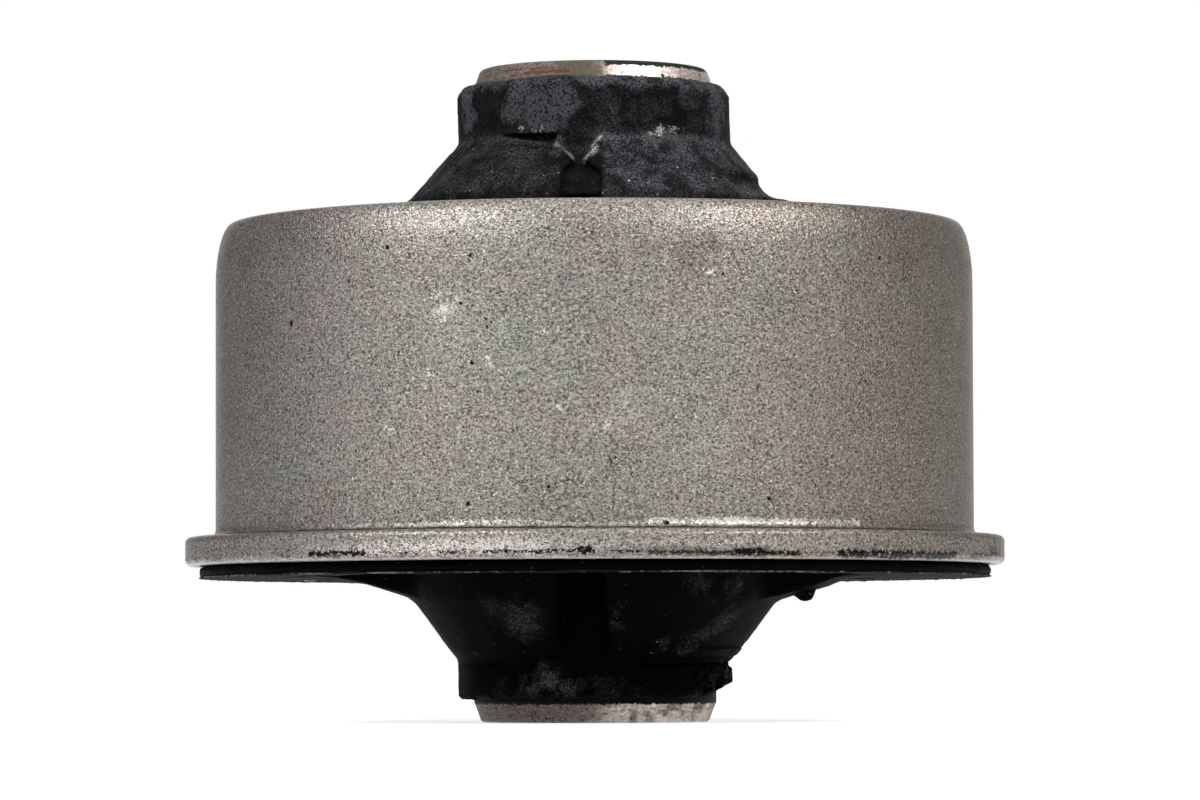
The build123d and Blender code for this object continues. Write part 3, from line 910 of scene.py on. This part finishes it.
rubberFinish = {                 # spots: radius they lie at, across, down, size in mm, strength
    "black": (0.0030, 0.0029, 0.0034),
    "shadedBlack": (0.0012, 0.0011, 0.0017),
    "dustAndPaintedLight": (0.066, 0.068, 0.075),
    "scuff": (0.165, 0.168, 0.176),
    "chalkAndHighlight": (0.62, 0.62, 0.60),
    "rough": 0.62,
    "specular": 0.02,
    "collar": (45.6, 51.0),      # heights of the upper collar, where the dust is lifted up to about twice, partly as a painted sheen
    "dustSpots": (
        (10.85, 535, 106, 2.3, 0.85), (10.85, 512, 112, 1.5, 0.65), (10.85, 560, 98, 1.5, 0.70),
        (10.85, 548, 124, 1.3, 0.80), (10.85, 468, 112, 1.4, 0.75), (10.85, 722, 112, 1.3, 0.75),
        (10.85, 466, 98, 1.6, 0.95), (10.85, 470, 124, 1.4, 0.9), (10.85, 717, 98, 1.6, 0.95),
        (10.85, 716, 122, 1.5, 0.95), (10.85, 520, 92, 1.6, 0.8),
        (10.85, 560, 140, 1.0, 0.60), (13.0, 676, 165, 2.2, 0.55), (13.6, 712, 180, 2.0, 0.75),
        (14.2, 745, 190, 1.7, 0.90), (13.6, 735, 165, 1.4, 0.70), (12.6, 640, 178, 1.4, 0.45),
        (13.2, 520, 622, 2.3, 0.85), (13.0, 500, 600, 1.8, 0.60), (13.0, 617, 605, 0.9, 0.80),
        (13.0, 615, 632, 0.9, 0.80), (12.4, 616, 648, 0.8, 0.75), (13.4, 728, 622, 1.7, 0.95),
        (13.0, 712, 640, 1.5, 0.90), (12.2, 690, 648, 1.2, 0.80), (12.2, 668, 650, 1.0, 0.75),
        (16.0, 745, 586, 1.8, 0.80), (16.0, 705, 588, 1.9, 0.75), (10.85, 727, 672, 0.8, 0.85),
        (10.85, 712, 682, 0.8, 0.85), (10.85, 698, 691, 0.7, 0.85), (10.85, 640, 696, 1.0, 0.45),
        (10.85, 600, 697, 0.9, 0.45),
        (10.85, 546, 681, 1.5, 1.0), (10.85, 572, 689, 1.4, 0.95), (10.85, 524, 691, 1.2, 0.85),
        (10.85, 610, 690, 1.6, 0.55), (10.85, 500, 694, 1.2, 0.5), (10.85, 560, 104, 2.2, 0.7),
    ),
    "chalkSpots": (
        (10.9, 661, 131, 0.50, 1.0), (10.9, 674, 129, 0.38, 0.8), (10.9, 652, 134, 0.25, 0.8),
        (10.9, 521, 129, 0.36, 0.8), (10.9, 532, 131, 0.40, 0.75), (10.9, 541, 130, 0.25, 0.7),
        (10.9, 612, 112, 0.13, 1.0), (12.6, 622, 172, 0.16, 0.8), (12.6, 628, 178, 0.20, 0.7),
        (10.85, 549, 680, 0.95, 0.28), (10.85, 566, 688, 0.80, 0.28), (10.85, 534, 690, 0.7, 0.24),
    ),
    "chalkAndHighlightLines": (              # radius, across, down at each end, width, strength
        (11.2, 600, 137, 593, 146, 0.34, 0.60), (12.0, 592, 147, 588, 156, 0.62, 0.90),
        (11.6, 558, 143, 569, 156, 0.40, 0.32), (11.9, 570, 156, 567, 166, 0.50, 0.42),
        # the two rows below paint the highlight along the edges of the lower ledges
        (11.5, 650, 653, 738, 651, 0.09, 0.8), (11.5, 470, 653, 530, 652, 0.07, 0.30),
        # the two rows below paint a bright edge line where the left lobe stands against the web
        (16.3, 390, 573, 397, 586, 0.09, 0.6), (15.6, 397, 586, 411, 602, 0.08, 0.6),
        (10.4, 506, 85, 575, 83, 0.12, 0.45), (10.9, 606, 133, 650, 132, 0.09, 0.40),
    ),
}


def blackRubber():
    look = rubberFinish
    material, tree, shader, place = newMaterial("blackRubber")
    fine = cloud(tree, place, 0.17, 2.0, 0.6)
    patch = cloud(tree, place, 1.6, 4.0, 0.62, 0.4)
    attribute = addNode(tree, "ShaderNodeAttribute", attribute_name="dustAndPaintedLight", attribute_type="GEOMETRY")
    settledAndShaded = maths(tree, "MULTIPLY", attribute.outputs["Fac"], fit(tree, patch, 0.34, 0.67, 0.16, 1.05))
    settledAndShaded = maths(tree, "MAXIMUM", settledAndShaded, marks(tree, place, look["dustSpots"], None, 1.1, 1.6, 0.9))
    speckle = fit(tree, fine, 0.37, 0.66, 0.02, 1.66, False)
    height = heightOf(tree, place)
    collarSheen = between(tree, height, *look["collar"], 0.4)
    dustAndSheen = maths(tree, "MULTIPLY", settledAndShaded, speckle)
    # dust, and on the upper collar a painted sheen that lifts it up to about twice
    dustAndSheen = maths(tree, "MULTIPLY", dustAndSheen, fit(tree, collarSheen, 0.0, 1.0, 1.0, 2.1, False), clamp=True)
    # painted shade: the rubber is made darker towards the bottom, darkest below 8 mm
    colour = mixed(tree, fit(tree, height, 8.0, 30.0), look["shadedBlack"], look["black"])
    colour = mixed(tree, dustAndSheen, colour, look["dustAndPaintedLight"])
    scuffed = maths(tree, "MULTIPLY", maths(tree, "MULTIPLY", settledAndShaded, settledAndShaded), fit(tree, fine, 0.55, 0.75))
    colour = mixed(tree, scuffed, colour, look["scuff"])

    # chalk marks, and painted highlight lines on the ledges and the left lobe's edge
    chalkAndHighlight = maths(
        tree, "MAXIMUM",
        marks(tree, place, look["chalkSpots"], None, 0.4, 0.9, 0.7),
        marks(tree, place, look["chalkAndHighlightLines"], None, 0.25, 0.30, 0.85))
    chalkAndHighlight = maths(tree, "MULTIPLY", chalkAndHighlight, fit(tree, fine, 0.40, 0.60, 0.10, 1.0))
    flecks = maths(
        tree, "MAXIMUM",
        effect(tree, "specks", place, spacing=0.9, radius=0.10, share=0.16),
        effect(tree, "specks", place, spacing=0.42, radius=0.06, share=0.14))
    flecks = maths(tree, "MULTIPLY", flecks, fit(tree, settledAndShaded, 0.05, 0.6, 0.12, 0.80))
    colour = mixed(tree, maths(tree, "MAXIMUM", chalkAndHighlight, flecks), colour, look["chalkAndHighlight"])
    feed(tree, shader.inputs["Base Color"], colour)
    shader.inputs["Roughness"].default_value = look["rough"]
    shader.inputs["Specular IOR Level"].default_value = look["specular"]
    relief = maths(tree, "ADD", fine, maths(tree, "MULTIPLY", chalkAndHighlight, 0.8))
    feed(tree, shader.inputs["Normal"], bumped(tree, relief, 0.05 * mm))
    return material


# ---- thin ragged flash where the mould parted, round the lip ----

lipFlash = {                     # lengths in mm
    "radius": 31.26,
    "height": 11.45,
    "section": ((-0.10, 0.06), (0.03, 0.05), (0.07, -0.01), (-0.02, -0.05)),
    "steps": 1200,
    "ragged": {"size": 0.45, "height": 0.06, "seed": 11},
    "slow": {"size": 5.0, "height": 0.03, "seed": 12},
    "pale": (0.17, 0.17, 0.175),
    "black": (0.006, 0.006, 0.007),
    "rough": 0.7,
    "specular": 0.05,
}


def flashRubber():
    look = lipFlash
    material, tree, shader, place = newMaterial("flashRubber")
    broken = maths(tree, "ADD", cloud(tree, place, 0.5, 3.0, 0.7), cloud(tree, place, 6.0, 2.0))
    feed(tree, shader.inputs["Base Color"], mixed(tree, fit(tree, broken, 0.92, 1.22), look["black"], look["pale"]))
    shader.inputs["Roughness"].default_value = look["rough"]
    shader.inputs["Specular IOR Level"].default_value = look["specular"]
    return material


def buildLipFlash():
    look = lipFlash
    bm = bmesh.new()
    corners = [
        bm.verts.new(((look["radius"] + across) * mm, 0, (look["height"] + up) * mm)) for across, up in look["section"]
    ]
    loop = [bm.edges.new(pair) for pair in zip(corners, corners[1:] + corners[:1])]
    bmesh.ops.spin(
        bm, geom=corners + loop, cent=(0, 0, 0), axis=(0, 0, 1), angle=2 * math.pi,
        steps=look["steps"], use_merge=True)
    bmesh.ops.recalc_face_normals(bm, faces=bm.faces)
    flash = newObject("lipFlash", bm)
    points = pointArray(flash.data, "vertices") / mm
    free = rise(look["height"] + 0.1 - points[:, 2], 0, 0.1)
    ragged = cloudArray(points, **look["ragged"]) + cloudArray(points, **look["slow"])
    points[:, :2] *= (1 + free * ragged / look["radius"])[:, None]
    points[:, 2] -= free * np.abs(ragged) * 0.8
    flash.data.vertices.foreach_set("co", (points * mm).astype(np.float32).ravel())
    flash.data.update()
    flash.data.shade_smooth()
    flash.data.materials.append(flashRubber())
    return flash


addCamera()
addStudio()
for name, made in (
    ("outer_sleeve", phosphatedSteel()),
    ("inner_sleeve", bareSteel()),
):
    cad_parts[name].data.materials[0] = made

rubber = buildRubber()
rubber.data.materials.clear()
rubber.data.materials.append(blackRubber())
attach(rubber, "root")
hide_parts("rubber_body")

flash = buildLipFlash()
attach(flash, "root")
print("lip flash:", len(flash.data.polygons), "faces")
